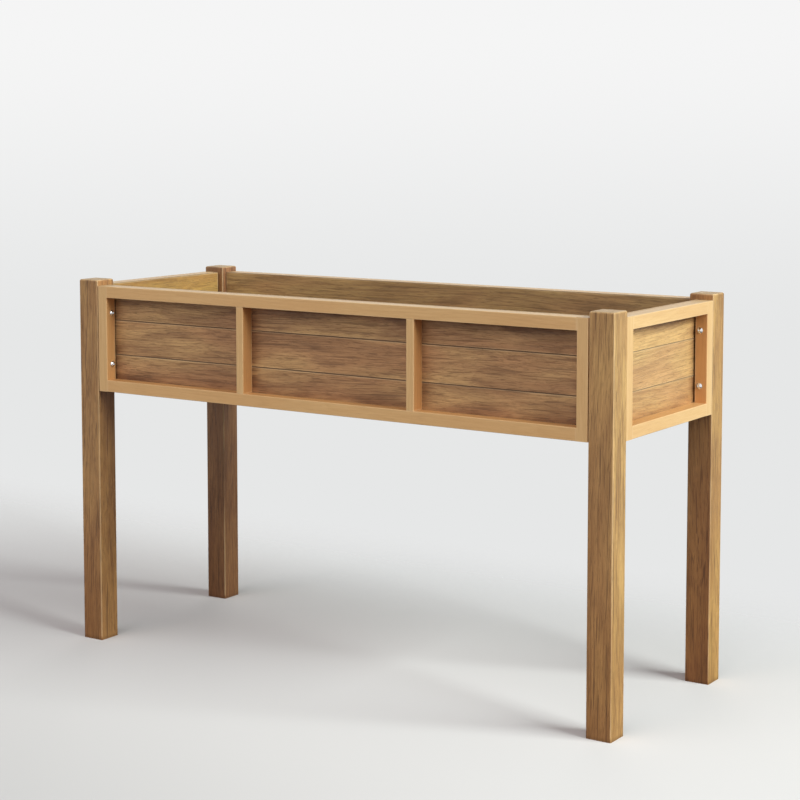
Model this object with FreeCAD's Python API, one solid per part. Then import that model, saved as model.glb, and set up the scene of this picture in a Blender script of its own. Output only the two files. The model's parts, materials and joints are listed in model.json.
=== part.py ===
import FreeCAD, Part
import math
import os

# Raised planter on legs, in millimetres. +Z is up and the origin is on the floor at the
# centre of the footprint. X runs along the long sides and the front faces -Y.

# Overall size
overall_length = 1247.0
overall_width = 463.0
post_height = 762.0
post_side = 50.0
post_edge_radius = 2.5
post_top_radius = 4.0

# Panels, measured inwards from the outer faces of the posts
panel_recess = 0.5
panel_top = 750.0
panel_bottom = 530.5
rail_height = 24.0
rail_depth = 28.5
stile_depth = 25.0
stile_reach = 24.5
long_panel_clearance = 1.5
end_panel_clearance = 0.5
mullion_width = 17.5
mullion_offset = 200.5
batten_edge_radius = 1.0
opening_edge_radius = 2.0

# Tongued boards behind the panel frames
board_names = ("top", "middle", "bottom")
board_thickness = 8.0
board_pitch = 72.0
board_joint_gap = 0.4
board_end_gap = 0.5
board_edge_radius = 1.0
tongue_thickness = 2.4
tongue_length = 4.0
groove_play = 0.2

# Floor
ledger_side = 20.0
ledger_end_gap = 1.0
slat_count = 11
slat_thickness = 12.0
slat_gap = 8.0
slat_edge_gap = 4.0
slat_end_gap = 1.0
slat_edge_radius = 1.5
notch_clearance = 1.0

# Bolts and threaded inserts that hold the panels to the posts
bolt_depth = 16.5
bolt_spacing = 107.0
bolt_diameter = 6.0
bolt_length = 45.0
bolt_head_diameter = 12.5
bolt_head_height = 3.8
bolt_head_rim = 0.9
bolt_socket_size = 4.0
bolt_socket_depth = 2.2
insert_diameter = 10.0
insert_length = 22.0
insert_recess = 0.5

# Dowels, brads and screws
dowel_diameter = 8.0
dowel_length = 30.0
brad_diameter = 2.0
brad_length = 18.0
rail_brad_count = 11
end_rail_brad_count = 4
rail_brad_margin = 40.0
mullion_brad_spacing = 16.0
screw_diameter = 4.0
screw_head_diameter = 8.0
screw_head_height = 2.3
screw_tip_length = 4.0
screw_slot_width = 1.2
screw_slot_span = 4.8
screw_slot_depth = 1.3
floor_screw_length = 28.0
floor_screw_spacing = 60.0
ledger_screw_length = 45.0
ledger_screw_places = (0.5, 2.5, 4.5)
fastener_play = 0.1
length_tolerance = 1e-6

# Values that follow from the sizes above
X_AXIS = FreeCAD.Vector(1, 0, 0)
Y_AXIS = FreeCAD.Vector(0, 1, 0)
Z_AXIS = FreeCAD.Vector(0, 0, 1)
half_length = overall_length / 2
half_width = overall_width / 2
long_span = overall_length - 2 * post_side
end_span = overall_width - 2 * post_side
board_front = panel_recess + rail_depth
board_back = board_front + board_thickness
panel_middle = (panel_top + panel_bottom) / 2
opening_top = panel_top - rail_height
opening_bottom = panel_bottom + rail_height
bolt_heights = (panel_middle - bolt_spacing / 2, panel_middle + bolt_spacing / 2)
ledger_top = panel_bottom + ledger_side
floor_top = ledger_top + slat_thickness
inner_length = overall_length - 2 * board_back
inner_width = overall_width - 2 * board_back
slat_run = inner_length - 2 * slat_edge_gap
slat_width = (slat_run - (slat_count - 1) * slat_gap) / slat_count
slat_pitch = slat_width + slat_gap
dowel_depth = panel_recess + stile_depth / 2


def box(x_range, y_range, z_range):
    """A plain box between three pairs of coordinates."""
    corner = FreeCAD.Vector(x_range[0], y_range[0], z_range[0])
    sides = [high - low for low, high in (x_range, y_range, z_range)]
    return Part.makeBox(sides[0], sides[1], sides[2], corner)


def rod(radius, length, start, direction):
    """A round bar from a point along a direction."""
    return Part.makeCylinder(radius, length, start, direction)


def same(first, second):
    """True for two lengths that are equal, within the modeller's accuracy."""
    return abs(first - second) < length_tolerance


def runs_along(edge, axis):
    """True for a straight edge parallel to the axis."""
    ends = edge.Vertexes
    if len(ends) != 2:
        return False
    step = ends[1].Point.sub(ends[0].Point)
    return same(abs(step.dot(axis)), step.Length)


def soften(shape, radius, axis):
    """Round every edge of a box that runs along the axis."""
    return shape.makeFillet(radius, [edge for edge in shape.Edges if runs_along(edge, axis)])


def cut_all(shape, tools):
    """Take every tool out of the shape."""
    for tool in tools:
        shape = shape.cut(tool)
    return shape


def save(node, shapes):
    """Write one solid, or a group of identical solids, as the node's STEP file."""
    shape = shapes[0] if len(shapes) == 1 else Part.makeCompound(shapes)
    shape.exportStep("parts/" + node + ".step")


def hexagon_bar(across_flats, length, base):
    """A six-sided bar that hangs down from its base."""
    corner_radius = across_flats / math.sqrt(3)
    angles = [math.radians(60 * corner) for corner in range(7)]
    corners = [
        base + FreeCAD.Vector(corner_radius * math.cos(angle), corner_radius * math.sin(angle), 0)
        for angle in angles
    ]
    return Part.Face(Part.makePolygon(corners)).extrude(-Z_AXIS * length)


def domed_bolt(tip_direction, seat):
    """A domed bolt with a hexagon socket; the underside of its head is on the seat."""
    radius = bolt_head_diameter / 2
    rise = bolt_head_height - bolt_head_rim
    dome_radius = (radius ** 2 + rise ** 2) / (2 * rise)
    rim = rod(radius, bolt_head_rim, FreeCAD.Vector(0, 0, -bolt_head_rim), Z_AXIS)
    dome = Part.makeSphere(dome_radius, FreeCAD.Vector(0, 0, dome_radius - bolt_head_height))
    column = rod(radius, rise, FreeCAD.Vector(0, 0, -bolt_head_height), Z_AXIS)
    shank = rod(bolt_diameter / 2, bolt_length, FreeCAD.Vector(0, 0, 0), Z_AXIS)
    bolt = rim.fuse([dome.common(column), shank]).removeSplitter()
    socket_floor = FreeCAD.Vector(0, 0, bolt_socket_depth - bolt_head_height)
    socket = hexagon_bar(bolt_socket_size, bolt_socket_depth, socket_floor)
    return aim(bolt.cut(socket), tip_direction, seat)


def countersunk_screw(length, tip_direction, seat, play=0.0):
    """A countersunk screw with its head flush at the seat; play makes it a drilling tool."""
    shank_radius = screw_diameter / 2 + play
    head_radius = screw_head_diameter / 2 + play
    head = Part.makeCone(head_radius, shank_radius, screw_head_height + play)
    straight = length - screw_head_height - screw_tip_length
    shank = rod(shank_radius, straight, FreeCAD.Vector(0, 0, screw_head_height), Z_AXIS)
    tip_start = FreeCAD.Vector(0, 0, length - screw_tip_length)
    tip = Part.makeCone(shank_radius, shank_radius / 4, screw_tip_length + play, tip_start)
    screw = head.fuse([shank, tip]).removeSplitter()
    if play == 0.0:
        arm = (-screw_slot_span / 2, screw_slot_span / 2)
        thin = (-screw_slot_width / 2, screw_slot_width / 2)
        deep = (0.0, screw_slot_depth)
        screw = screw.cut(box(arm, thin, deep).fuse(box(thin, arm, deep)))
    return aim(screw, tip_direction, seat)


def aim(shape, direction, place):
    """Turn a shape made along +Z to point along a direction, and move it to its place."""
    turn = FreeCAD.Rotation(Z_AXIS, direction)
    turned = shape.copy()
    turned.Placement = FreeCAD.Placement(place, turn)
    return turned


def on_side(shape, side):
    """Move a shape from the panel's own frame to its side of the planter.

    In its own frame a panel stands along X with its outer face towards -Y, and Y counts
    inwards from the outer faces of the posts.
    """
    turn, reach = {
        "front": (0, half_width),
        "right": (90, half_length),
        "back": (180, half_width),
        "left": (270, half_length),
    }[side]
    moved = shape.copy()
    moved.translate(FreeCAD.Vector(0, -reach, 0))
    moved.rotate(FreeCAD.Vector(0, 0, 0), Z_AXIS, turn)
    return moved


def is_long(side):
    return side in ("front", "back")


def span_of(side):
    """Distance between the two posts that a panel stands between."""
    return long_span if is_long(side) else end_span


def end_names(side):
    """Names of a panel's ends, at its own -X and +X."""
    return {
        "front": ("left", "right"),
        "right": ("front", "back"),
        "back": ("right", "left"),
        "left": ("back", "front"),
    }[side]


def opening_edge(side):
    """Distance from the middle of a panel to the inner faces of its stiles."""
    return span_of(side) / 2 - stile_reach


def make_frame_dowels(side):
    """Dowels across each joint between a rail and a stile or a mullion."""
    dowels = []
    radius = dowel_diameter / 2
    for height in (panel_bottom + rail_height / 2, panel_top - rail_height / 2):
        for end in (-1, 1):
            start = FreeCAD.Vector(end * opening_edge(side) - dowel_length / 2, dowel_depth, height)
            dowels.append(rod(radius, dowel_length, start, X_AXIS))
    if is_long(side):
        for height in (opening_bottom, opening_top):
            for end in (-1, 1):
                start = FreeCAD.Vector(end * mullion_offset, dowel_depth, height - dowel_length / 2)
                dowels.append(rod(radius, dowel_length, start, Z_AXIS))
    return dowels


def spread(count, reach):
    """Evenly spaced places from -reach to +reach."""
    return [-reach + 2 * reach * index / (count - 1) for index in range(count)]


def brad_places(side):
    """Places along and up a panel where a brad holds a board to a rail or a mullion."""
    count = rail_brad_count if is_long(side) else end_rail_brad_count
    along = spread(count, opening_edge(side) - rail_brad_margin)
    heights = (panel_bottom + rail_height / 2, panel_top - rail_height / 2)
    places = [(x, z) for x in along for z in heights]
    if is_long(side):
        for row in range(len(board_names)):
            middle = panel_top - board_pitch * (row + 0.5)
            for end in (-1, 1):
                places.append((end * mullion_offset, middle - mullion_brad_spacing / 2))
                places.append((end * mullion_offset, middle + mullion_brad_spacing / 2))
    return places


def make_brads(side, play=0.0):
    """Brads driven outwards from the inner face of the boards."""
    radius = brad_diameter / 2 + play
    return [
        rod(radius, brad_length + play, FreeCAD.Vector(x, board_back, z), -Y_AXIS)
        for x, z in brad_places(side)
    ]


def ledger_screw_seats():
    """Places along a ledger for its screws, between the floor slats."""
    along = [end * place * slat_pitch for end in (-1, 1) for place in ledger_screw_places]
    height = panel_bottom + ledger_side / 2
    return [FreeCAD.Vector(x, board_back + ledger_side, height) for x in along]


def make_ledger_screws(play=0.0):
    """Screws through a ledger and the bottom board into the bottom rail."""
    return [
        countersunk_screw(ledger_screw_length, -Y_AXIS, seat, play)
        for seat in ledger_screw_seats()
    ]


def make_rail(side, low, high):
    """A rail between the stiles, with small roundings along its length."""
    edge = opening_edge(side)
    rail = box((-edge, edge), (panel_recess, board_front), (low, high))
    rail = soften(rail, batten_edge_radius, X_AXIS)
    rail = cut_all(rail, make_frame_dowels(side))
    rail = cut_all(rail, make_brads(side, fastener_play))
    if is_long(side) and low == panel_bottom:
        rail = cut_all(rail, make_ledger_screws(fastener_play))
    return rail


def opening_rounding(side, end):
    """The sliver taken off a stile's front edge where it borders the opening."""
    radius = opening_edge_radius
    edge = end * opening_edge(side)
    across = sorted((edge, edge + end * radius))
    height = (opening_bottom, opening_top)
    corner = box(across, (panel_recess, panel_recess + radius), height)
    centre = FreeCAD.Vector(edge + end * radius, panel_recess + radius, opening_bottom)
    return corner.cut(rod(radius, opening_top - opening_bottom, centre, Z_AXIS))


def make_stile(side, end):
    """A full-height stile beside a post, drilled for its two bolts."""
    clearance = long_panel_clearance if is_long(side) else end_panel_clearance
    inner = end * opening_edge(side)
    outer = end * (span_of(side) / 2 - clearance)
    depth = (panel_recess, panel_recess + stile_depth)
    stile = box(sorted((inner, outer)), depth, (panel_bottom, panel_top))
    outer_edges = [
        line
        for line in stile.Edges
        if runs_along(line, Z_AXIS) and same(line.Vertexes[0].X, outer)
    ]
    stile = stile.makeFillet(batten_edge_radius, outer_edges)
    stile = stile.cut(opening_rounding(side, end))
    hole_radius = bolt_diameter / 2 + 2 * fastener_play
    for height in bolt_heights:
        start = FreeCAD.Vector(inner, bolt_depth, height)
        stile = stile.cut(rod(hole_radius, stile_reach, start, X_AXIS * end))
    return cut_all(stile, make_frame_dowels(side))


def make_mullion(side, end):
    """An upright between the rails of a long panel."""
    middle = end * mullion_offset
    width = (middle - mullion_width / 2, middle + mullion_width / 2)
    mullion = box(width, (panel_recess, board_front), (opening_bottom, opening_top))
    front_edges = [
        line
        for line in mullion.Edges
        if runs_along(line, Z_AXIS) and same(line.Vertexes[0].Y, panel_recess)
    ]
    mullion = mullion.makeFillet(opening_edge_radius, front_edges)
    mullion = cut_all(mullion, make_frame_dowels(side))
    return cut_all(mullion, make_brads(side, fastener_play))


def make_board(side, row):
    """One of the tongued boards; row 0 is the top one."""
    reach = span_of(side) / 2 - board_end_gap
    is_top = row == 0
    is_bottom = row == len(board_names) - 1
    top = panel_top - board_pitch * row
    bottom = top - board_pitch
    low = bottom if is_bottom else bottom + board_joint_gap / 2
    high = top if is_top else top - board_joint_gap / 2
    board = box((-reach, reach), (board_front, board_back), (low, high))
    board = soften(board, board_edge_radius, X_AXIS)
    core = (board_front + board_back) / 2
    half_tongue = tongue_thickness / 2
    if not is_bottom:
        half_groove = half_tongue + groove_play
        depth = (low - board_joint_gap, low + tongue_length)
        groove = box((-reach, reach), (core - half_groove, core + half_groove), depth)
        board = board.cut(groove)
    if not is_top:
        tongue_height = (high - board_edge_radius, high + tongue_length)
        tongue = box((-reach, reach), (core - half_tongue, core + half_tongue), tongue_height)
        board = board.fuse(tongue).removeSplitter()
    board = cut_all(board, make_brads(side, fastener_play))
    if is_long(side):
        board = cut_all(board, make_ledger_screws(fastener_play))
    return board


def make_panel_bolts(side):
    """Two bolts through each stile of a panel into its post."""
    edge = opening_edge(side)
    return [
        domed_bolt(X_AXIS * end, FreeCAD.Vector(end * edge, bolt_depth, height))
        for end in (-1, 1)
        for height in bolt_heights
    ]


def make_inserts(side, bored=True):
    """Threaded inserts in the posts at the ends of a panel; unbored, they are drilling tools."""
    inserts = []
    play = 0.0 if bored else fastener_play
    length = insert_length if bored else insert_length + insert_recess
    first = span_of(side) / 2 + (insert_recess if bored else 0.0)
    for end in (-1, 1):
        for height in bolt_heights:
            start = FreeCAD.Vector(end * first, bolt_depth, height)
            insert = rod(insert_diameter / 2 + play, length, start, X_AXIS * end)
            if bored:
                bore = rod(bolt_diameter / 2 + fastener_play, length, start, X_AXIS * end)
                insert = insert.cut(bore)
            inserts.append(insert)
    return inserts


def make_post(x_side, y_side):
    """A corner post with softened edges, drilled for the inserts of both its panels."""
    across = sorted((x_side * half_length, x_side * (half_length - post_side)))
    deep = sorted((y_side * half_width, y_side * (half_width - post_side)))
    post = box(across, deep, (0.0, post_height))
    top_edges = [edge for edge in post.Edges if same(edge.BoundBox.ZMin, post_height)]
    post = post.makeFillet(post_top_radius, top_edges)
    post = soften(post, post_edge_radius, Z_AXIS)
    for side in ("front", "back", "left", "right"):
        tools = [on_side(tool, side) for tool in make_inserts(side, bored=False)]
        post = cut_all(post, [tool for tool in tools if tool.BoundBox.intersect(post.BoundBox)])
    return post


def make_ledger():
    """A square strip that carries the floor, along the inside of a long panel."""
    reach = long_span / 2 - ledger_end_gap
    depth = (board_back, board_back + ledger_side)
    ledger = box((-reach, reach), depth, (panel_bottom, ledger_top))
    ledger = soften(ledger, batten_edge_radius, X_AXIS)
    return cut_all(ledger, make_ledger_screws(fastener_play))


def slat_middle(index):
    return (index - (slat_count - 1) / 2) * slat_pitch


def floor_screws_for(index, play=0.0):
    """Four screws that hold one slat down to the two ledgers."""
    reach = inner_width / 2 - ledger_side / 2
    return [
        countersunk_screw(
            floor_screw_length,
            -Z_AXIS,
            FreeCAD.Vector(slat_middle(index) + side * floor_screw_spacing / 2, end * reach, floor_top),
            play,
        )
        for side in (-1, 1)
        for end in (-1, 1)
    ]


def make_slat(index):
    """A floor slat across the planter; the end ones are notched around the posts."""
    middle = slat_middle(index)
    reach = inner_width / 2 - slat_end_gap
    width = (middle - slat_width / 2, middle + slat_width / 2)
    slat = box(width, (-reach, reach), (ledger_top, floor_top))
    slat = soften(slat, slat_edge_radius, Y_AXIS)
    keep_out_x = half_length - post_side - notch_clearance
    keep_out_y = half_width - post_side - notch_clearance
    for x_side in (-1, 1):
        for y_side in (-1, 1):
            across = sorted((x_side * keep_out_x, x_side * half_length))
            deep = sorted((y_side * keep_out_y, y_side * half_width))
            notch = box(across, deep, (ledger_top, floor_top))
            if notch.BoundBox.intersect(slat.BoundBox):
                slat = slat.cut(notch)
    return cut_all(slat, floor_screws_for(index, fastener_play))


def write_posts():
    for y_name, y_side in (("front", -1), ("back", 1)):
        for x_name, x_side in (("left", -1), ("right", 1)):
            save("corner_post_" + y_name + "_" + x_name, [make_post(x_side, y_side)])


def write_panel(side):
    name = side + "_panel_"
    top_rail = make_rail(side, opening_top, panel_top)
    bottom_rail = make_rail(side, panel_bottom, opening_bottom)
    save(name + "top_rail", [on_side(top_rail, side)])
    save(name + "bottom_rail", [on_side(bottom_rail, side)])
    for end, end_name in zip((-1, 1), end_names(side)):
        save(name + end_name + "_stile", [on_side(make_stile(side, end), side)])
        if is_long(side):
            save(name + end_name + "_mullion", [on_side(make_mullion(side, end), side)])
    for row, row_name in enumerate(board_names):
        save(name + row_name + "_board", [on_side(make_board(side, row), side)])


def write_floor():
    floor_tools = []
    for index in range(slat_count):
        save("floor_slat_" + str(index + 1), [make_slat(index)])
        floor_tools += floor_screws_for(index, fastener_play)
    for side in ("front", "back"):
        ledger = on_side(make_ledger(), side)
        save(side + "_floor_ledger", [cut_all(ledger, floor_tools)])


def write_fasteners():
    sides = ("front", "right", "back", "left")
    bolts = [on_side(bolt, side) for side in sides for bolt in make_panel_bolts(side)]
    inserts = [on_side(insert, side) for side in sides for insert in make_inserts(side)]
    dowels = [on_side(dowel, side) for side in sides for dowel in make_frame_dowels(side)]
    brads = [on_side(brad, side) for side in sides for brad in make_brads(side)]
    ledger_screws = [
        on_side(screw, side) for side in ("front", "back") for screw in make_ledger_screws()
    ]
    floor_screws = [
        screw for index in range(slat_count) for screw in floor_screws_for(index)
    ]
    save("panel_bolts", bolts)
    save("post_inserts", inserts)
    save("frame_dowels", dowels)
    save("board_brads", brads)
    save("ledger_screws", ledger_screws)
    save("floor_screws", floor_screws)


os.makedirs("parts", exist_ok=True)
write_posts()
for panel_side in ("front", "right", "back", "left"):
    write_panel(panel_side)
write_floor()
write_fasteners()
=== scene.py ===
import json
import math
import random

import bpy
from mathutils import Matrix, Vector


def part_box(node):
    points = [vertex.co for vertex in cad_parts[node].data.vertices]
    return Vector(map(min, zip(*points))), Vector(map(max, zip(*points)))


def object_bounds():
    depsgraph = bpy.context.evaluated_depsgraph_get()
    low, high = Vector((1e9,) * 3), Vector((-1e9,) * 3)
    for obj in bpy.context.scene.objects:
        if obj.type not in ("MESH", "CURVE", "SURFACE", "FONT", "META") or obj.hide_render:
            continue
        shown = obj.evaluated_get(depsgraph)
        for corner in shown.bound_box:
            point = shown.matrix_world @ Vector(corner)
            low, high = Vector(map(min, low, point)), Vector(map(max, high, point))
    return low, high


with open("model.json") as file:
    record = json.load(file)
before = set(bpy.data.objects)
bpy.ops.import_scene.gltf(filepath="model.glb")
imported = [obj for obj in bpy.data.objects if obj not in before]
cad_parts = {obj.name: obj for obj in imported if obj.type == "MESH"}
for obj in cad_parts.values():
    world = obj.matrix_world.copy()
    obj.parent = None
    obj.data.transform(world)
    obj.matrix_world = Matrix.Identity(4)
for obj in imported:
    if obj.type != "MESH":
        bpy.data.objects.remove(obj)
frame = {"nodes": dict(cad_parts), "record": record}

cad_low, cad_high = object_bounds()


# ---------------------------------------------------------------- node helpers

def srgb(red, green, blue):
    """A colour given in 8-bit sRGB, as the linear colour that shaders use."""
    def linear(value):
        value /= 255
        return value / 12.92 if value <= 0.04045 else ((value + 0.055) / 1.055) ** 2.4
    return (linear(red), linear(green), linear(blue), 1.0)


def add(tree, kind, inputs=None, **settings):
    """Add a node. An input that is a socket is linked, and any other is set."""
    made = tree.nodes.new("ShaderNode" + kind)
    for name, value in settings.items():
        setattr(made, name, value)
    for name, value in (inputs or {}).items():
        if isinstance(value, bpy.types.NodeSocket):
            tree.links.new(value, made.inputs[name])
        else:
            made.inputs[name].default_value = value
    return made


def calc(tree, operation, first, second=0.0, clamp=False):
    """One step of arithmetic on two numbers."""
    return add(tree, "Math", {0: first, 1: second}, operation=operation, use_clamp=clamp).outputs[0]


def add_share(tree, total, value, share):
    """A total, with a share of another number added."""
    return calc(tree, "ADD", total, calc(tree, "MULTIPLY", value, share))


def vector_calc(tree, operation, first, second):
    """One step of arithmetic on two vectors."""
    return add(tree, "VectorMath", {0: first, 1: second}, operation=operation).outputs[0]


def parts_of(tree, vector):
    """A vector's X, Y and Z."""
    return add(tree, "SeparateXYZ", {0: vector}).outputs


def noise(tree, vector, scale, detail, roughness, distortion=0.0):
    """Noise from 0 to 1 on coordinates that may be stretched."""
    made = add(tree, "TexNoise", {
        "Vector": vector, "Scale": scale, "Detail": detail,
        "Roughness": roughness, "Distortion": distortion,
    })
    return made.outputs["Fac"]


def ease(tree, value, low, high, out_low=0.0, out_high=1.0):
    """Smoothly remap a number from one range to another."""
    return add(tree, "MapRange", {
        "Value": value, "From Min": low, "From Max": high, "To Min": out_low, "To Max": out_high,
    }, interpolation_type="SMOOTHSTEP").outputs[0]


def blend_colour(tree, factor, first, second, mode="MIX"):
    """Mix two colours."""
    made = add(tree, "Mix", {0: factor, 6: first, 7: second}, data_type="RGBA", blend_type=mode)
    return made.outputs[2]


def tinted(tree, factor, colour, tint):
    """A colour multiplied by a tint, as far as the factor says."""
    return blend_colour(tree, factor, colour, tint, "MULTIPLY")


def new_material(name):
    """An empty node material, with its tree and output node."""
    material = bpy.data.materials.new(name)
    material.use_nodes = True
    material.node_tree.nodes.clear()
    output = material.node_tree.nodes.new("ShaderNodeOutputMaterial")
    return material, material.node_tree, output


# ---------------------------------------------------------------- timber

# Rotations that turn a piece's grain direction onto X, for each row axis
GRAIN_TURNS = {
    0: (0.0, 0.0, 0.0),
    1: (0.0, 0.0, -math.pi / 2),
    2: (0.0, math.pi / 2, 0.0),
}

# Each kind of timber. Sizes are in metres, and colours are linear.
#   light, warm, dark      earlywood in its two shades, and latewood
#   streak                 smoky streaks, dark lines and pores
#   ring                   distance between growth rings
#   contrast               how strongly the rings show
#   clouds, streaks, lines, pores    how strongly each of these marks shows
#   wear_and_highlight, joint_shade    how light the edges are, partly abrasion and partly a painted highlight, and how dark the painted shade in the joints is
#   relief                 height of the surface grain
#   gloss                  (smoothest, roughest) surface roughness
#   spread                 how far the pieces differ in shade
#   upward_shade           how far upward faces are painted greyer, a painted shade
#   slope                  how far the grain may lean, in radians
TIMBERS = {
    "post_timber": dict(
        light=srgb(200, 160, 102), warm=srgb(190, 147, 94), dark=srgb(136, 96, 57),
        streak=srgb(74, 47, 30), ring=0.0075, contrast=0.18, clouds=0.5, streaks=0.3,
        lines=0.56, pores=0.4, wear_and_highlight=0.38, joint_shade=0.0, relief=0.0004, gloss=(0.42, 0.62),
        spread=0.03, upward_shade=0.55, slope=0.035),
    "board_timber": dict(
        light=srgb(208, 168, 115), warm=srgb(194, 147, 102), dark=srgb(140, 101, 68),
        streak=srgb(82, 54, 37), ring=0.010, contrast=0.26, clouds=0.6, streaks=0.6,
        lines=0.46, pores=0.42, wear_and_highlight=0.3, joint_shade=0.75, relief=0.0003, gloss=(0.45, 0.65),
        spread=0.05, upward_shade=0.4, slope=0.03),
    "frame_timber": dict(
        light=srgb(221, 182, 128), warm=srgb(217, 174, 120), dark=srgb(204, 160, 106),
        streak=srgb(176, 128, 82), ring=0.0045, contrast=0.3, clouds=0.3, streaks=0.2,
        lines=0.12, pores=0.15, wear_and_highlight=0.3, joint_shade=0.0, relief=0.00012, gloss=(0.38, 0.5),
        spread=0.015, upward_shade=0.5, slope=0.008),
    "floor_timber": dict(
        light=srgb(205, 172, 122), warm=srgb(196, 158, 110), dark=srgb(170, 130, 84),
        streak=srgb(124, 92, 62), ring=0.006, contrast=0.55, clouds=0.4, streaks=0.4,
        lines=0.25, pores=0.3, wear_and_highlight=0.3, joint_shade=0.0, relief=0.0004, gloss=(0.6, 0.8),
        spread=0.05, upward_shade=0.4, slope=0.03),
    "dowel_timber": dict(
        light=srgb(214, 184, 140), warm=srgb(210, 176, 130), dark=srgb(196, 162, 116),
        streak=srgb(170, 136, 96), ring=0.004, contrast=0.3, clouds=0.2, streaks=0.2,
        lines=0.1, pores=0.3, wear_and_highlight=0.2, joint_shade=0.0, relief=0.0002, gloss=(0.5, 0.6),
        spread=0.03, upward_shade=0.0, slope=0.01),
}

# Growth rings: how far the pith may be from a piece's middle, how far the rings are drawn out
# along the grain, the wave scale that puts one ring in every metre, and the wave's unevenness
PITH_REACH = (0.035, 0.075)
RING_STRETCH = (0.12, 1.0, 1.0)
RING_SCALE = math.pi / 10
RING_WAVE = {"Distortion": 4.5, "Detail": 3.0, "Detail Scale": 0.35, "Detail Roughness": 0.6}
RING_SHARPNESS = 2.2

# How the grain wanders: how slowly along it, by how much in metres, and the share of that by
# which the other marks wander
MEANDER_STRETCH = (1.0, 4.0, 4.0)
MEANDER_NOISE = {"Scale": 2.2, "Detail": 2.0, "Roughness": 0.45}
MEANDER_REACH = (0.0, 0.05, 0.05)
MARK_MEANDER = (0.5, 0.5, 0.5)

# The other marks: how many to a metre along and across the grain, the noise levels between
# which a mark appears, and the noise's detail, roughness and distortion
MARKS = {
    "fibres": (13.0, 420.0, 0.32, 0.68, 3.0, 0.6, 0.0),
    "threads": (2.4, 130.0, 0.3, 0.72, 3.0, 0.6, 0.0),
    "clouds": (5.0, 26.0, 0.36, 0.66, 3.0, 0.55, 0.5),
    "smoke": (9.0, 62.0, 0.5, 0.74, 4.0, 0.62, 0.7),
    "blotches": (4.0, 14.0, 0.4, 0.65, 2.0, 0.5, 0.3),
    "lines": (6.0, 330.0, 0.583, 0.635, 2.0, 0.5, 0.4),
    "dashes": (30.0, 560.0, 0.6, 0.7, 1.0, 0.4, 0.0),
    "pores": (60.0, 1100.0, 0.6, 0.72, 1.0, 0.4, 0.0),
}
THREAD_SHARE = 0.2
FIBRE_SHARE = 0.36
TONE_STRENGTH = 0.75
WARMTH_SPREAD = 0.015

# The surface grain: what each mark adds to its height, how strong it is, and the amount of
# marking that makes the roughest surface
FIBRE_RELIEF = 0.4
LINE_RELIEF = 0.5
RING_RELIEF = 0.5
RELIEF_STRENGTH = 0.7
ROUGHEST_MARKING = 1.5
SPECULAR = 0.5

# How far a face has to turn towards a direction to start taking its shade, and to take all of it
TURNED = (0.3, 0.8)
OUTWARD = (0.2, 0.8)
SQUARE_ON = (0.5, 0.9)
UPWARD = (0.45, 0.95)

# Painted shade on upward faces, edges lighter by abrasion and a painted highlight, and a dark brown
# for painted shade in the joints and a band at the posts' feet
UPWARD_SHADE = srgb(176, 152, 120)
ARRIS = srgb(226, 194, 150)
DARK_BROWN = srgb(66, 38, 24)

# Distances from an edge, in metres, where each of these starts and where it is full
EDGE_WEAR_AND_HIGHLIGHT = (0.0032, 0.0012)
EDGE_UNEVEN = 0.0012
JOINT_ARRIS = (0.0038, 0.0022)
JOINT_ARRIS_SHARE = 0.22
JOINT_SHADE_REACH = (0.0013, 0.0007)
BOARD_GAP = 0.0004

# The posts' feet: the heights between which they are painted darker, a painted shade, where the
# lighter edges start, and where the darker band at the very bottom shows
FOOT_SHADE = (0.86, 0.77, 0.74, 1.0)
FOOT_SHADE_HEIGHT = (0.55, 0.0)
FOOT_EDGE_LIGHT_HEIGHT = (0.003, 0.012)
FOOT_BAND_HEIGHT = (0.009, 0.001)
FOOT_BAND_DARKNESS = 0.32

# Boards are painted darker within this distance of their frame, a painted shade in the recess, more
# where the timber is clouded
BAY_SHADE = (0.42, 0.29, 0.22, 1.0)
BAY_DEPTH = 0.03
BAY_SHADE_BASE = 0.25
BAY_CLOUDS = 0.5

# Each panel's boards: the axis and sign of the way they face, the painted light and shade of
# their outer and inner faces beside the common stock, and how bold their figure is
BOARDS = {
    "front": ("Y", -1.0, (0.97, 0.97, 0.97, 1.0), (0.80, 0.86, 0.82, 1.0), 1.0),
    "back": ("Y", 1.0, (1.0, 1.0, 1.0, 1.0), (0.77, 0.82, 0.76, 1.0), 0.9),
    "left": ("X", -1.0, (1.1, 1.1, 1.08, 1.0), (0.77, 0.75, 0.49, 1.0), 0.8),
    "right": ("X", 1.0, (1.2, 1.24, 1.16, 1.0), (0.80, 0.84, 0.70, 1.0), 0.5),
}

# The painted shade of each post's front and right faces beside the common stock, and the painted
# light that the right face's colour is multiplied by at its foot
POSTS = {
    "corner_post_front_right": (
        (1.00, 0.97, 0.96, 1.0), (1.05, 1.03, 0.98, 1.0), (1.10, 1.11, 1.13, 1.0)),
    "corner_post_front_left": (
        (0.85, 0.80, 0.80, 1.0), (0.86, 0.72, 0.67, 1.0), (1.0, 1.0, 1.0, 1.0)),
    "corner_post_back_left": (
        (0.58, 0.50, 0.53, 1.0), (0.65, 0.50, 0.53, 1.0), (1.0, 1.0, 1.0, 1.0)),
    "corner_post_back_right": (
        (0.80, 0.66, 0.61, 1.0), (0.96, 0.90, 0.77, 1.0), (1.10, 1.12, 1.15, 1.0)),
}

# The painted shade of frame members' sides beside their faces: what the name ends with, the
# axis that the sides face in a long panel and in an end panel, and the colour
FRAME_SIDES = (
    ("mullion", "X", "Y", (0.82, 0.62, 0.51, 1.0)),
    ("stile", "X", "Y", (0.97, 0.79, 0.68, 1.0)),
    ("bottom_rail", "Z", "Z", (0.92, 0.80, 0.70, 1.0)),
)
LONG_PANELS = ("front", "back")


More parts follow.
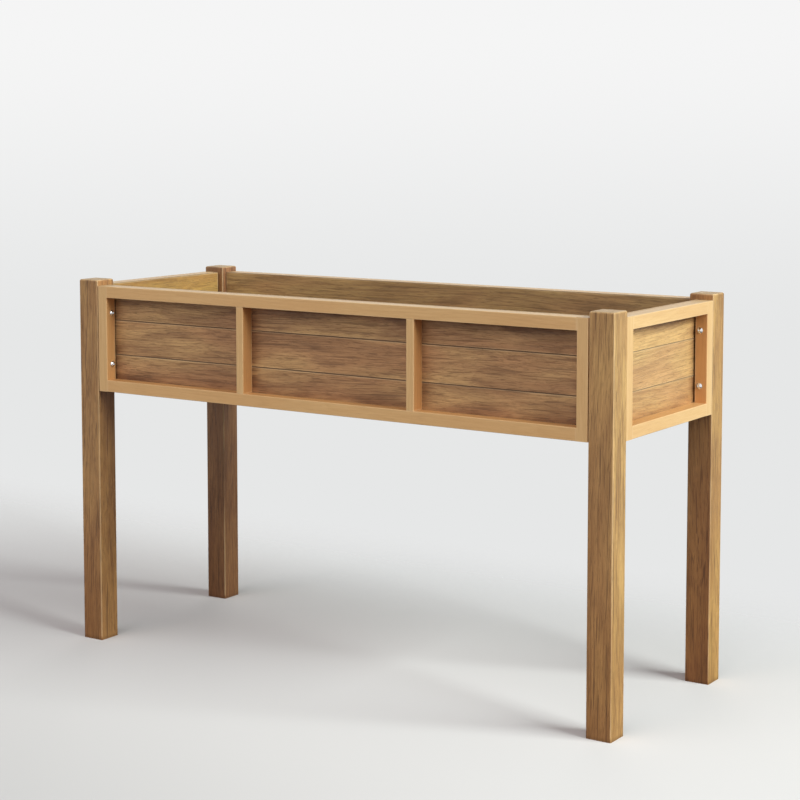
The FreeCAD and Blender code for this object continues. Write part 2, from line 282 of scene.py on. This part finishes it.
def edge_distance(tree, centred, half):
    """How far a point on a piece's surface is from the piece's nearest edge."""
    away = vector_calc(tree, "SUBTRACT", half, vector_calc(tree, "ABSOLUTE", centred, (0, 0, 0)))
    parts = parts_of(tree, away)
    lesser = calc(tree, "MINIMUM", parts[0], parts[1])
    greater = calc(tree, "MAXIMUM", parts[0], parts[1])
    return calc(tree, "MAXIMUM", lesser, calc(tree, "MINIMUM", greater, parts[2]))


def shoulder_box(node):
    """A piece's box without the tongue that a board hides inside the board above it."""
    low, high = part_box(node)
    for name, above in (("bottom_board", "middle_board"), ("middle_board", "top_board")):
        if node.endswith(name):
            high.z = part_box(node.replace(name, above))[0].z - BOARD_GAP
    return low, high


def frame_distance(tree, position, node, grain_axis):
    """How far a point on a board is from the nearest member of its panel's frame."""
    panel = node[:node.index("_panel_") + len("_panel_")]
    nearest = None
    for member in sorted(frame["nodes"]):
        if not member.startswith(panel) or member.endswith("board"):
            continue
        low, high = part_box(member)
        axis = 2 if member.endswith("rail") else grain_axis
        away = calc(tree, "SUBTRACT", position[axis], (low[axis] + high[axis]) / 2)
        away = calc(tree, "SUBTRACT", calc(tree, "ABSOLUTE", away), (high[axis] - low[axis]) / 2)
        nearest = away if nearest is None else calc(tree, "MINIMUM", nearest, away)
    return nearest


def meander(tree, free):
    """How far the grain wanders sideways, in metres."""
    stretched = vector_calc(tree, "MULTIPLY", free, MEANDER_STRETCH)
    bow = add(tree, "TexNoise", {"Vector": stretched, **MEANDER_NOISE}).outputs["Color"]
    bow = vector_calc(tree, "SUBTRACT", bow, (0.5, 0.5, 0.5))
    return vector_calc(tree, "MULTIPLY", bow, MEANDER_REACH)


def growth_rings(tree, grain, bow, ring, draw):
    """Growth rings from 0 to 1, round a pith to one side of the piece's middle."""
    angle = draw.uniform(0, 2 * math.pi)
    distance = draw.uniform(*PITH_REACH)
    pith = (0.0, distance * math.cos(angle), distance * math.sin(angle))
    heart = vector_calc(tree, "SUBTRACT", vector_calc(tree, "ADD", grain, bow), pith)
    heart = vector_calc(tree, "MULTIPLY", heart, RING_STRETCH)
    rings = add(tree, "TexWave", {"Vector": heart, "Scale": RING_SCALE / ring, **RING_WAVE},
                wave_type="RINGS", rings_direction="X", wave_profile="SAW").outputs["Fac"]
    return calc(tree, "POWER", rings, RING_SHARPNESS)


def marks(tree, free, along, across, low, high, detail, roughness, distortion):
    """Marks from 0 to 1, stretched along the grain."""
    stretched = vector_calc(tree, "MULTIPLY", free, (along, across, across))
    return ease(tree, noise(tree, stretched, 1.0, detail, roughness, distortion), low, high)


def strongest_marks(tree, mark, look, figure):
    """How strongly streaks, lines, dashes and pores together darken the timber."""
    smoke = calc(tree, "MULTIPLY", mark["blotches"], look["streaks"] * figure)
    strongest = calc(tree, "MULTIPLY", mark["smoke"], smoke)
    for name, strength in (
        ("lines", look["lines"] * figure),
        ("dashes", look["pores"] * figure),
        ("pores", look["pores"]),
    ):
        strongest = calc(tree, "MAXIMUM", strongest, calc(tree, "MULTIPLY", mark[name], strength))
    return strongest


def post_shades(tree, colour, node, facing, height):
    """A post's faces in their own painted shades, with painted shade towards the feet, painted
    light on the right face's foot, and a darker band at the very bottom.
    """
    front_colour, right_colour, right_foot = POSTS[node]
    # The front and right faces are painted in their own shades
    front = ease(tree, facing["Y"], -TURNED[0], -TURNED[1])
    colour = tinted(tree, front, colour, front_colour)
    right = ease(tree, facing["X"], *TURNED)
    colour = tinted(tree, right, colour, right_colour)
    # Painted light on the right face's foot, and painted shade towards the feet on the front and
    # back faces
    low_down = ease(tree, height, *FOOT_SHADE_HEIGHT)
    colour = tinted(tree, calc(tree, "MULTIPLY", low_down, right), colour, right_foot)
    front_or_back = ease(tree, calc(tree, "ABSOLUTE", facing["Y"]), *SQUARE_ON)
    colour = tinted(tree, calc(tree, "MULTIPLY", low_down, front_or_back), colour, FOOT_SHADE)
    return blend_colour(tree, ease(tree, height, *FOOT_BAND_HEIGHT, 0.0, FOOT_BAND_DARKNESS), colour, DARK_BROWN)


def frame_shades(tree, colour, node, facing):
    """A frame member's sides, painted darker and redder than its face: a painted shade in the
    recesses.
    """
    for ending, long_axis, end_axis, side_colour in FRAME_SIDES:
        if node.endswith(ending):
            axis = long_axis if node.startswith(LONG_PANELS) else end_axis
            side = ease(tree, calc(tree, "ABSOLUTE", facing[axis]), *SQUARE_ON)
            colour = tinted(tree, side, colour, side_colour)
    return colour


def board_shades(tree, colour, node, facing, position, grain_axis, clouds):
    """A board's outer and inner faces in their own painted light and shade, with painted shade
    outside beside the frame.
    """
    axis, sign, outer, inner, _ = BOARDS[node.split("_")[0]]
    outward = calc(tree, "MULTIPLY", facing[axis], sign)
    # Outer and inner faces painted in their own light and shade
    outside = ease(tree, outward, *OUTWARD)
    colour = tinted(tree, outside, colour, outer)
    colour = tinted(tree, ease(tree, outward, -OUTWARD[0], -OUTWARD[1]), colour, inner)
    # Painted shade on the outer faces near the frame
    deep = ease(tree, frame_distance(tree, position, node, grain_axis), BAY_DEPTH, 0.0)
    deep = calc(tree, "MULTIPLY", deep, outside)
    bay_shading = add_share(tree, BAY_SHADE_BASE, clouds, BAY_CLOUDS)
    return tinted(tree, calc(tree, "MULTIPLY", deep, bay_shading), colour, BAY_SHADE)


def joint_shades(tree, colour, from_edge, uneven, above_middle, joint_shade, figure):
    """Joints between boards: a painted highlight on the upper edge and a dark line of painted shade
    along the edges.
    """
    light = calc(tree, "MULTIPLY", ease(tree, uneven, *JOINT_ARRIS), above_middle)
    light = calc(tree, "MULTIPLY", light, JOINT_ARRIS_SHARE * figure)
    colour = blend_colour(tree, light, colour, ARRIS)
    dark = calc(tree, "MULTIPLY", ease(tree, from_edge, *JOINT_SHADE_REACH), joint_shade * figure)
    return blend_colour(tree, dark, colour, DARK_BROWN)


def timber_material(node, kind, seed):
    """Solid timber for one piece: rings around its own pith, fibres, pores and streaks."""
    look = TIMBERS[kind]
    draw = random.Random(seed)
    low, high = shoulder_box(node)
    extent = high - low
    grain_axis = max(range(3), key=lambda axis: extent[axis])
    figure = BOARDS[node.split("_")[0]][-1] if kind == "board_timber" else 1.0
    material, tree, output = new_material(kind + "_" + node)

    # Coordinates along the piece's grain, which leans a little, and then wanders
    place = add(tree, "TexCoord").outputs["Object"]
    position = parts_of(tree, place)
    centred = vector_calc(tree, "SUBTRACT", place, tuple((low + high) / 2))
    turn = GRAIN_TURNS[grain_axis]
    grain = add(tree, "Mapping", {"Vector": centred, "Rotation": turn}).outputs[0]
    shift = tuple(draw.uniform(-9, 9) for _ in range(3))
    lean = tuple(draw.uniform(-look["slope"], look["slope"]) for _ in range(2))
    grain = add(tree, "Mapping", {"Vector": grain, "Rotation": (0.0,) + lean}).outputs[0]
    free = vector_calc(tree, "ADD", grain, shift)
    bow = meander(tree, free)
    free = vector_calc(tree, "ADD", free, vector_calc(tree, "MULTIPLY", bow, MARK_MEANDER))

    latewood = growth_rings(tree, grain, bow, look["ring"], draw)
    mark = {name: marks(tree, free, *settings) for name, settings in MARKS.items()}

    earlywood = blend_colour(tree, mark["blotches"], look["light"], look["warm"])
    tone = calc(tree, "MULTIPLY", latewood, look["contrast"])
    tone = add_share(tree, tone, mark["threads"], THREAD_SHARE)
    tone = add_share(tree, tone, mark["fibres"], FIBRE_SHARE)
    tone = add_share(tree, tone, mark["clouds"], look["clouds"] * figure)
    tone = calc(tree, "MULTIPLY", tone, TONE_STRENGTH, clamp=True)
    colour = blend_colour(tree, tone, earlywood, look["dark"])
    marking = strongest_marks(tree, mark, look, figure)
    colour = blend_colour(tree, marking, colour, look["streak"])

    # Each piece has its own shade
    shade = draw.uniform(1.0 - look["spread"], 1.0 + look["spread"])
    warmth = draw.uniform(1.0 - WARMTH_SPREAD, 1.0 + WARMTH_SPREAD)
    colour = tinted(tree, 1.0, colour, (shade * warmth, shade, shade / warmth, 1.0))

    # Upward faces are painted a greyer tone, a painted shade, except on the bottom rails
    facing = parts_of(tree, add(tree, "NewGeometry").outputs["Normal"])
    if not node.endswith("bottom_rail"):
        upward_shaded = calc(tree, "MULTIPLY", ease(tree, facing["Z"], *UPWARD), look["upward_shade"])
        colour = blend_colour(tree, upward_shaded, colour, UPWARD_SHADE)

    # Edges are lighter, partly abrasion and partly a painted highlight, though not where a post
    # meets the ground
    from_edge = edge_distance(tree, centred, tuple(extent / 2))
    uneven = add_share(tree, from_edge, mark["clouds"], EDGE_UNEVEN)
    worn_and_highlit = calc(tree, "MULTIPLY", ease(tree, uneven, *EDGE_WEAR_AND_HIGHLIGHT), look["wear_and_highlight"])
    if kind == "post_timber":
        colour = post_shades(tree, colour, node, facing, position["Z"])
        worn_and_highlit = calc(tree, "MULTIPLY", worn_and_highlit, ease(tree, position["Z"], *FOOT_EDGE_LIGHT_HEIGHT))
    if kind == "frame_timber":
        colour = frame_shades(tree, colour, node, facing)
    if kind == "board_timber":
        colour = board_shades(tree, colour, node, facing, position, grain_axis, mark["clouds"])
    colour = blend_colour(tree, worn_and_highlit, colour, ARRIS)
    # Painted highlight and painted shade along the boards' joints
    if look["joint_shade"]:
        above_middle = calc(tree, "GREATER_THAN", parts_of(tree, centred)["Z"], 0.0)
        colour = joint_shades(tree, colour, from_edge, uneven, above_middle, look["joint_shade"], figure)

    height = calc(tree, "MULTIPLY", mark["fibres"], FIBRE_RELIEF)
    height = calc(tree, "SUBTRACT", height, mark["pores"])
    height = add_share(tree, height, mark["lines"], -LINE_RELIEF)
    height = add_share(tree, height, latewood, RING_RELIEF)
    bump = add(tree, "Bump", {
        "Height": height, "Strength": RELIEF_STRENGTH, "Distance": look["relief"],
    }).outputs[0]
    marking = calc(tree, "ADD", mark["fibres"], marking)
    roughness = ease(tree, marking, 0.0, ROUGHEST_MARKING, *look["gloss"])
    surface = add(tree, "BsdfPrincipled", {
        "Base Color": colour, "Roughness": roughness, "Normal": bump,
        "Specular IOR Level": SPECULAR,
    })
    tree.links.new(surface.outputs[0], output.inputs["Surface"])
    return material


# ---------------------------------------------------------------- metals

METALS = {
    "bolt_steel": dict(colour=(0.90, 0.91, 0.93, 1.0), gloss=(0.13, 0.22)),
    "screw_steel": dict(colour=(0.72, 0.70, 0.64, 1.0), gloss=(0.25, 0.42)),
    "brad_steel": dict(colour=(0.30, 0.20, 0.12, 1.0), gloss=(0.45, 0.6)),
    "insert_brass": dict(colour=(0.80, 0.62, 0.32, 1.0), gloss=(0.22, 0.4)),
}

# Scratches and spots of tarnish to a metre, the noise's detail and roughness, and the noise
# levels between which each appears
SCRATCHES = (400.0, 2600.0, 900.0)
TARNISH = 260.0
METAL_NOISE = (3.0, 0.6)
SCRATCH_LEVELS = (0.3, 0.7)
TARNISH_LEVELS = (0.45, 0.8)
TARNISH_SHARE = 0.3
TARNISH_DARKNESS = 0.6
SCRATCH_STRENGTH = 0.2
SCRATCH_DEPTH = 0.0001


def metal_material(kind):
    """Plated metal with faint scratches and slight tarnish."""
    look = METALS[kind]
    material, tree, output = new_material(kind)
    place = add(tree, "TexCoord").outputs["Object"]
    scratches = noise(tree, vector_calc(tree, "MULTIPLY", place, SCRATCHES), 1.0, *METAL_NOISE)
    tarnish = noise(tree, place, TARNISH, *METAL_NOISE)
    tarnish = ease(tree, tarnish, *TARNISH_LEVELS, 0.0, TARNISH_SHARE)
    dull = tuple(TARNISH_DARKNESS * value for value in look["colour"][:3]) + (1.0,)
    colour = blend_colour(tree, tarnish, look["colour"], dull)
    roughness = ease(tree, scratches, *SCRATCH_LEVELS, *look["gloss"])
    bump = add(tree, "Bump", {
        "Height": scratches, "Strength": SCRATCH_STRENGTH, "Distance": SCRATCH_DEPTH,
    }).outputs[0]
    surface = add(tree, "BsdfPrincipled", {
        "Base Color": colour, "Metallic": 1.0, "Roughness": roughness, "Normal": bump,
    })
    tree.links.new(surface.outputs[0], output.inputs["Surface"])
    return material


FIRST_SEED = 100

slots = {part["node"]: part["material_slot"] for part in frame["record"]["subparts"]}
metals = {kind: metal_material(kind) for kind in METALS}
for index, (node, piece) in enumerate(sorted(frame["nodes"].items())):
    kind = slots[node]
    material = metals[kind] if kind in METALS else timber_material(node, kind, FIRST_SEED + index)
    for slot in piece.material_slots:
        slot.material = material


# ---------------------------------------------------------------- floor, light and camera

# The floor. It fades out between two distances from the middle. The camera also sees it fade
# behind the planter, and darken in front of it with a painted shade, between two depths each. The
# planter is lit by a darker floor than the one the camera sees, so that undersides stay dark.
FLOOR_RADIUS = 9.0
FLOOR_SIDES = 96
FLOOR_FADE = (0.8, 2.79)
BACK_FADE = (0.22, 1.0)
FRONT_SHADE = (-0.45, -1.5)
FLOOR_COLOUR = (0.712, 0.688, 0.705, 1.0)
FLOOR_NEAR = (0.584, 0.564, 0.578, 1.0)
FLOOR_BOUNCE = (0.15, 0.12, 0.105, 1.0)


def make_floor():
    """A wide pale floor that fades into the backdrop away from the planter."""
    mesh = bpy.data.meshes.new("studio_floor")
    angles = [2 * math.pi * side / FLOOR_SIDES for side in range(FLOOR_SIDES)]
    rim = [
        (FLOOR_RADIUS * math.cos(angle), FLOOR_RADIUS * math.sin(angle), 0.0)
        for angle in angles
    ]
    mesh.from_pydata(rim, [], [list(range(FLOOR_SIDES))])
    floor = bpy.data.objects.new("studio_floor", mesh)
    bpy.context.scene.collection.objects.link(floor)
    material, tree, output = new_material("studio_floor")
    place = add(tree, "TexCoord").outputs["Object"]
    depth = parts_of(tree, place)["Y"]
    distance = add(tree, "VectorMath", {0: place}, operation="LENGTH").outputs["Value"]
    seen = add(tree, "LightPath").outputs["Is Camera Ray"]
    behind = calc(tree, "MULTIPLY", ease(tree, depth, *BACK_FADE), seen)
    fade = calc(tree, "MAXIMUM", ease(tree, distance, *FLOOR_FADE), behind)
    shade = blend_colour(tree, ease(tree, depth, *FRONT_SHADE), FLOOR_COLOUR, FLOOR_NEAR)
    shade = blend_colour(tree, seen, FLOOR_BOUNCE, shade)
    solid = add(tree, "BsdfDiffuse", {"Color": shade}).outputs[0]
    clear = add(tree, "BsdfTransparent").outputs[0]
    mixed = add(tree, "MixShader", {0: fade, 1: solid, 2: clear}).outputs[0]
    tree.links.new(mixed, output.inputs["Surface"])
    mesh.materials.append(material)


# The backdrop's colours below and above the horizon, and the heights between which they blend
BACKDROP_LOW = srgb(230, 231, 231)
BACKDROP_HIGH = srgb(245, 245, 245)
HORIZON = (-0.12, 0.05)

# The sky that fills the shadows: an even level, and a glow that comes from one side
FILL_BASE = 0.07
FILL_GLOW = 2.37
FILL_SIDE = (0.0, -0.819, 0.574)
FILL_TIGHTNESS = 5.0
FILL_COOL = (0.93, 0.97, 1.0, 1.0)
FILL_WARM = (1.0, 0.91, 0.84, 1.0)


def make_world():
    """A pale backdrop for the camera and reflections, and a darker sky that fills the shadows."""
    world = bpy.data.worlds.new("studio")
    bpy.context.scene.world = world
    world.use_nodes = True
    tree = world.node_tree
    tree.nodes.clear()
    direction = add(tree, "TexCoord").outputs["Generated"]
    height = parts_of(tree, direction)["Z"]
    ramp = add(tree, "ValToRGB", {"Fac": ease(tree, height, *HORIZON)})
    ramp.color_ramp.elements[0].color = BACKDROP_LOW
    ramp.color_ramp.elements[1].color = BACKDROP_HIGH
    seen = add(tree, "Background", {"Color": ramp.outputs[0], "Strength": 1.0}).outputs[0]
    facing = add(tree, "VectorMath", {0: direction, 1: FILL_SIDE}, operation="DOT_PRODUCT")
    facing = calc(tree, "MAXIMUM", facing.outputs["Value"], 0.0)
    glow = calc(tree, "POWER", facing, FILL_TIGHTNESS)
    level = add_share(tree, FILL_BASE, glow, FILL_GLOW)
    tint = blend_colour(tree, glow, FILL_COOL, FILL_WARM)
    fill = add(tree, "Background", {"Color": tint, "Strength": level}).outputs[0]
    path = add(tree, "LightPath").outputs
    is_seen = calc(tree, "MAXIMUM", path["Is Camera Ray"], path["Is Glossy Ray"])
    mixed = add(tree, "MixShader", {0: is_seen, 1: fill, 2: seen}).outputs[0]
    output = tree.nodes.new("ShaderNodeOutputWorld")
    tree.links.new(mixed, output.inputs["Surface"])


# Each light's bearing and height in degrees, its distance and size in metres, its power in
# watts, its colour, and whether metal reflects it
LIGHTS = {
    "key_light": dict(
        azimuth=91, elevation=28, distance=10.0, width=6.0, height=4.6,
        power=1440, colour=(0.90, 0.985, 0.93), in_gloss=True),
    "back_light": dict(
        azimuth=205, elevation=8, distance=9.0, width=5.0, height=2.4,
        power=215, colour=(1.0, 0.97, 0.93), in_gloss=False),
}


def make_light(name, look):
    """A soft light that faces the middle of the planter."""
    data = bpy.data.lights.new(name, "AREA")
    data.shape = "RECTANGLE"
    data.size = look["width"]
    data.size_y = look["height"]
    data.energy = look["power"]
    data.color = look["colour"]
    light = bpy.data.objects.new(name, data)
    bpy.context.scene.collection.objects.link(light)
    light.visible_camera = False
    light.visible_glossy = look["in_gloss"]
    bearing, rise = math.radians(look["azimuth"]), math.radians(look["elevation"])
    way = Vector((
        math.sin(bearing) * math.cos(rise), -math.cos(bearing) * math.cos(rise), math.sin(rise)))
    light.location = (cad_low + cad_high) / 2 + way * look["distance"]
    light.rotation_euler = (-way).to_track_quat("-Z", "Y").to_euler()


CAMERA_PLACE = (2.1007, -3.1391, 1.0956)
CAMERA_AZIMUTH = 33.458
CAMERA_PITCH = 4.885
CAMERA_LENS = 84.94
CAMERA_SHIFT = -0.15
SENSOR_WIDTH = 36.0


def make_camera():
    """A long lens, front and right of the planter, shifted down and looking slightly down."""
    data = bpy.data.cameras.new("camera")
    data.sensor_width = SENSOR_WIDTH
    data.lens = CAMERA_LENS
    data.shift_y = CAMERA_SHIFT
    camera = bpy.data.objects.new("camera", data)
    bpy.context.scene.collection.objects.link(camera)
    camera.location = CAMERA_PLACE
    camera.rotation_euler = (math.radians(90 - CAMERA_PITCH), 0.0, math.radians(CAMERA_AZIMUTH))
    bpy.context.scene.camera = camera


make_floor()
make_world()
for name, look in LIGHTS.items():
    make_light(name, look)
make_camera()
bpy.context.scene.view_settings.view_transform = "Standard"
